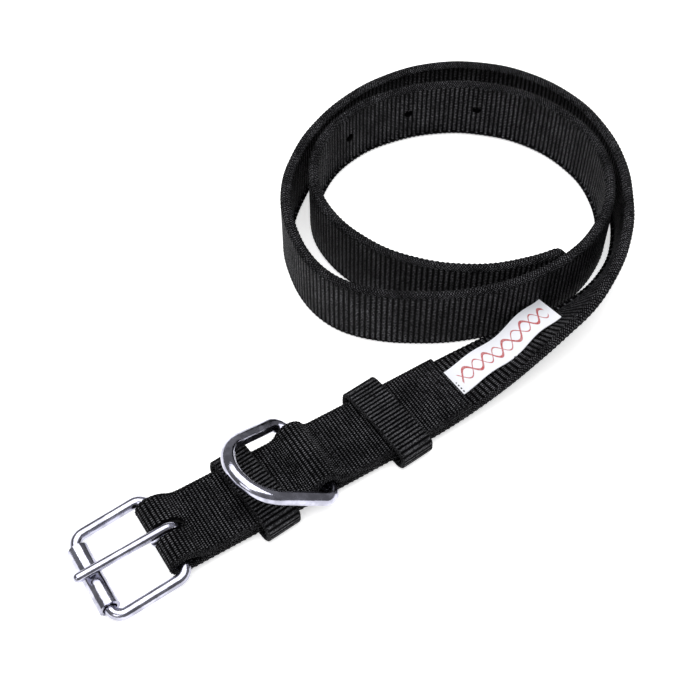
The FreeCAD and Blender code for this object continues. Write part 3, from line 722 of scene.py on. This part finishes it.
def woven(name, half, band, yarn_count, grain):
    """Ribbed nylon of half the width given: yarn_count yarns to a millimetre across the face, which
    show by the share grain, and crossing strands in the last band of millimetres."""
    f = Finish(name)
    rib, yarn = f.uv()
    yarn = f.math("MULTIPLY", yarn, yarn_count)
    odd = f.math("MODULO", f.math("FLOOR", rib), 2.0)
    rib_wave = f.math("ABSOLUTE", f.math("SINE", f.math("MULTIPLY", rib, math.pi)))
    shifted = f.math("ADD", yarn, f.math("MULTIPLY", odd, 0.5))
    yarn_wave = f.math("ABSOLUTE", f.math("SINE", f.math("MULTIPLY", shifted, math.pi)))
    grains = f.math("ADD", 1.15 - 0.95 * grain, f.math("MULTIPLY", yarn_wave, 1.25 * grain))
    face = f.math("MULTIPLY", f.math("POWER", rib_wave, 0.7), grains)
    out = f.math("ABSOLUTE", yarn)
    twice = f.math("MULTIPLY", rib, 2.0)
    lean_a = f.math("SINE", f.math("MULTIPLY", f.math("ADD", twice, out), math.pi))
    lean_b = f.math("SINE", f.math("MULTIPLY", f.math("SUBTRACT", twice, out), math.pi))
    strands = f.math("ABSOLUTE", f.math("MULTIPLY", lean_a, lean_b))
    strands = f.math("MULTIPLY", strands, 1.8)
    edge_from = (half - band) * yarn_count
    edge = f.step(out, edge_from - 0.4, edge_from + 0.4)
    blend = f.math("ADD", f.math("MULTIPLY", face, f.math("SUBTRACT", 1.0, edge)),
                   f.math("MULTIPLY", strands, edge))
    fuzz = f.noise(1500.0, 2.0)
    height = f.math("ADD", blend, f.math("MULTIPLY", fuzz, 0.5))
    f.bump(height, 0.0006, 1.0)
    # Painted highlight: the crests are painted lighter for the nylon's sheen, in patches from slow
    # noise and grains from the fuzz.
    tone = f.math("MULTIPLY", f.step(blend, 0.65, 1.4), f.step(f.noise(70.0), 0.3, 0.7, 0.5, 1.0))
    tone = f.math("MULTIPLY", tone, f.step(fuzz, 0.38, 0.62, 0.1, 1.0))
    colour = f.mix(f.math("MINIMUM", tone, 1.0), BLACK, PAINTED_CREST_SHEEN)
    return f.set(Base_Color=colour, Roughness=0.5, Specular_IOR_Level=SOFT_SPECULAR)


webbing = woven("webbing", WIDTH / 2, EDGE_BAND, BELT_YARNS, BELT_GRAIN)
keeper_webbing = woven("keeper_webbing", KEEPER_WIDTH / 2, KEEPER_BAND, KEEPER_YARNS, KEEPER_GRAIN)

# %% [markdown]
# ## Thread, label cloth and metal
# The thread is the belt's own black with a fine twist. The label is smooth white satin with a plain
# red pattern of two crossing waves, like a rope, and a few dark stitches at its sewn corner. The
# metal is bright plate over steel wire: almost a mirror, with faint die lines, duller stains and
# small marks that break its reflections.

# %% Thread, label and metal
thread = Finish("thread")
thread.bump(thread.noise(2600.0, 1.0), 0.0001, 0.7)
thread_material = thread.set(
    Base_Color=thread.mix(thread.noise(1800.0), (0.004, 0.004, 0.005, 1), (0.03, 0.03, 0.034, 1)),
    Roughness=0.42, Specular_IOR_Level=SOFT_SPECULAR)

RED, WHITE = (0.42, 0.02, 0.02, 1), (0.80, 0.81, 0.86, 1)
WAVE_LENGTH, WAVE_HEIGHT = 15.0, 4.2
WIDE_LINE, NARROW_LINE = 1.0, 0.5
SEWN_AT, SEWN_PITCH = 2.2, 2.4


def label_cloth():
    """White satin with two crossing sine waves in red: a line shows where the distance from the
    wave is under its half width. A row of dark dashes crosses the half of the sewn end."""
    f = Finish("label_cloth")
    along, side = f.uv()
    inside = f.math("MULTIPLY", f.step(along, 5.0, 6.0), f.step(along, 73.0, 74.0, 1.0, 0.0))
    ink = 0.0
    turn = f.math("SINE", f.math("MULTIPLY", along, 2 * math.pi / WAVE_LENGTH))
    for height, half_line in ((WAVE_HEIGHT, WIDE_LINE), (-WAVE_HEIGHT, NARROW_LINE)):
        wave = f.math("MULTIPLY", turn, height)
        away = f.math("ABSOLUTE", f.math("SUBTRACT", side, wave))
        line = f.step(away, half_line - 0.15, half_line + 0.15, 1.0, 0.0)
        ink = f.math("MAXIMUM", ink, line)
    ink = f.math("MULTIPLY", ink, inside)
    warp = f.math("ABSOLUTE", f.math("SINE", f.math("MULTIPLY", side, math.pi * 3.0)))
    weft = f.math("ABSOLUTE", f.math("SINE", f.math("MULTIPLY", along, math.pi * 2.2)))
    f.bump(f.math("ADD", warp, weft), 0.00004, 0.6)
    speckle = f.step(f.noise(900.0), 0.3, 0.75, 0.75, 1.0)
    colour = f.mix(f.math("MULTIPLY", ink, speckle), WHITE, RED)
    row = f.step(f.math("ABSOLUTE", f.math("SUBTRACT", along, SEWN_AT)), 0.3, 0.5, 1.0, 0.0)
    dash = f.step(f.math("SINE", f.math("MULTIPLY", side, 2 * math.pi / SEWN_PITCH)), -0.1, 0.2)
    near = f.step(side, 0.0, 1.0)
    thread_mark = f.math("MULTIPLY", f.math("MULTIPLY", row, dash), near)
    return f.set(Base_Color=f.mix(thread_mark, colour, BLACK), Roughness=0.5)


def plated(name, tint, stain_share, marks):
    """Bright plated steel: fine lines and small marks change the bump and the roughness, and stains
    take the tint down to a share of itself."""
    f = Finish(name)
    scratches = f.noise(420.0, 4.0, (1.0, 0.25, 1.0))
    pits = f.noise(1600.0, 2.0)
    f.bump(f.math("ADD", scratches, f.math("MULTIPLY", pits, 0.4)), 0.00006, marks)
    rough = f.step(scratches, 0.35, 0.75, 0.06, 0.26)
    stains = f.step(f.noise(130.0, 4.0), 0.38, 0.62)
    tone = f.mix(stains, tint, tuple(channel * stain_share for channel in tint[:3]) + (1,))
    return f.set(Base_Color=tone, Metallic=1.0, Roughness=rough)


label_material = label_cloth()
plated_steel = plated("plated_steel", (0.55, 0.55, 0.66, 1), 0.62, 1.0)

# %% [markdown]
# ## Every piece on its body
# A piece rides on the body that it is fixed to, so it moves with that body's joint. The strap,
# label and stitches ride on the belt. The keepers slide, so each has a body of its own. The metal
# nodes already ride, and only change their finish.

# %% Put every piece on its body
finish_piece(strap, webbing, "belt", "webbing", "strap")
finish_piece(label, label_material, "belt", "label_cloth", "label")
for piece, (node, body, _) in zip(keepers, KEEPERS):
    finish_piece(piece, keeper_webbing, body, "keeper_webbing", node)
for node, piece in seams.items():
    finish_piece(piece, thread_material, "belt", "thread", node)
for name in ("buckle_frame", "buckle_roller", "buckle_prong", "d_ring"):
    frame["nodes"][name].data.materials.clear()
    frame["nodes"][name].data.materials.append(plated_steel)

# %% [markdown]

# %% [markdown]
# ## Floor and light
# A plain pale floor glows a little by itself, as a light table does, so shadows stay faint and
# nothing but the belt draws the eye. The world is a dim grey, because bright metal needs something
# dark to mirror. One big soft light overhead and a small one at the left give the plated wire its
# long bright lines.

# %% Floor, world and lights
FLOOR_REACH, FLOOR_Z, FLOOR_CELLS = 4000.0, -0.3, 8
FLOOR_GLOW, WORLD_GREY = 0.55, 0.22

floor_line = np.linspace(-FLOOR_REACH, FLOOR_REACH, FLOOR_CELLS + 1)
floor_x, floor_y = np.meshgrid(floor_line, floor_line, indexing="ij")
floor_points = np.stack([floor_x.ravel(), floor_y.ravel(), np.full(floor_x.size, FLOOR_Z)], axis=-1)
side_points = FLOOR_CELLS + 1
cell = (np.arange(FLOOR_CELLS)[:, None] * side_points + np.arange(FLOOR_CELLS)).ravel()
floor_faces = np.stack([cell, cell + side_points, cell + side_points + 1, cell + 1], axis=-1)
floor = add_mesh("floor", floor_points, floor_faces)
pale = Finish("floor")
floor.data.materials.append(pale.set(
    Base_Color=pale.mix(pale.noise(3.0), (0.93, 0.93, 0.93, 1), (0.95, 0.95, 0.95, 1)),
    Roughness=0.9, Emission_Color=(1, 1, 1, 1), Emission_Strength=FLOOR_GLOW))

world = bpy.data.worlds.new("studio")
world.use_nodes = True
background = world.node_tree.nodes["Background"].inputs
background["Color"].default_value = (1, 1, 1, 1)
background["Strength"].default_value = WORLD_GREY
bpy.context.scene.world = world
bpy.context.scene.view_settings.view_transform = "Standard"


def soft_light(name, place, target, size, power):
    """Square area light at a place, turned to face a target."""
    light = bpy.data.objects.new(name, bpy.data.lights.new(name, "AREA"))
    bpy.context.scene.collection.objects.link(light)
    light.data.size, light.data.energy = size, power
    light.location = place
    light.rotation_euler = (Vector(target) - Vector(place)).to_track_quat("-Z", "Y").to_euler()
    return light


soft_light("overhead", (0.0, 0.1, 1.6), (0, 0, 0), 2.2, 42.0)
soft_light("window", (-1.3, -0.5, 0.8), (0, 0, 0), 0.6, 3.0)
